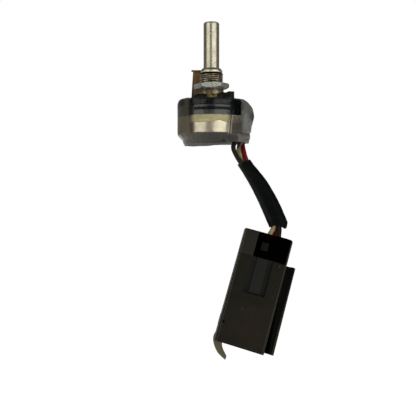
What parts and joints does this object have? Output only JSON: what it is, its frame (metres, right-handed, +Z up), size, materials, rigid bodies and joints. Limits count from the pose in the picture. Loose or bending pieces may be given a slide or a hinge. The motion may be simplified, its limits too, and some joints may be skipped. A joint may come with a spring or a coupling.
{
  "type": "potentiometer",
  "caption": "Panel-mount rotary potentiometer with a plain round shaft, threaded bushing and nut, in a clear heat-shrink sleeve, on a short three-wire lead with a latching plug.",
  "frame": {"origin": "on the shaft axis, in the plane where a panel rests on the bushing's flange", "axes": "+Z up the shaft, +X towards the terminals, -Y the front seen in the picture"},
  "size_m": [0.045, 0.0257, 0.1304],
  "materials": {
    "nickel_shaft": "nickel plate, warm, lightly worn",
    "spring_steel": "satin",
    "nickel_bushing": "worn nickel over brass",
    "zinc_nut": "mottled zinc plate",
    "brown_plate": "brown oxidised sheet",
    "black_moulding": "semi-gloss moulding",
    "cream_board": "laminate edge",
    "carbon_film": "matt film",
    "tinned_brass": "tinned",
    "nickel_can": "nickel plate",
    "cream_adhesive": "cured adhesive",
    "hub_plastic": "moulded",
    "spring_bronze": "spring bronze",
    "clear_sleeve": "clear heat-shrink film",
    "black_insulation": "soft",
    "cream_insulation": "soft, soiled",
    "red_insulation": "soft",
    "black_tube": "soft tubing",
    "plug_plastic": "moulded nylon, dusty",
    "yellowed_nylon": "yellowed"
  },
  "bodies": {
    "housing": {"adhesive_bead": "cream_adhesive", "cable_tube": "black_tube", "carbon_track": "carbon_film", "collector_ring": "tinned_brass", "contact_black": "tinned_brass", "contact_red": "tinned_brass", "contact_white": "tinned_brass", "front_housing": "black_moulding", "heat_shrink_sleeve": "clear_sleeve", "locating_plate": "brown_plate", "panel_nut": "zinc_nut", "plug_block": "plug_plastic", "plug_shell": "plug_plastic", "plug_strap": "yellowed_nylon", "rear_can": "nickel_can", "terminal_black": "tinned_brass", "terminal_board": "cream_board", "terminal_red": "tinned_brass", "terminal_rivets": "tinned_brass", "terminal_white": "tinned_brass", "threaded_bushing": "nickel_bushing", "wire_black": "black_insulation", "wire_red": "red_insulation", "wire_white": "cream_insulation"},
    "rotor": {"shaft": "nickel_shaft", "shaft_retaining_ring": "spring_steel", "rotor_hub": "hub_plastic", "wiper_spring": "spring_bronze"}
  },
  "joints": [
    {"name": "shaft_turn", "type": "hinge", "parent": "housing", "child": "rotor", "pos_m": [0, 0, 0], "axis": [0, 0, 1], "range_deg": [-150, 150]}
  ]
}
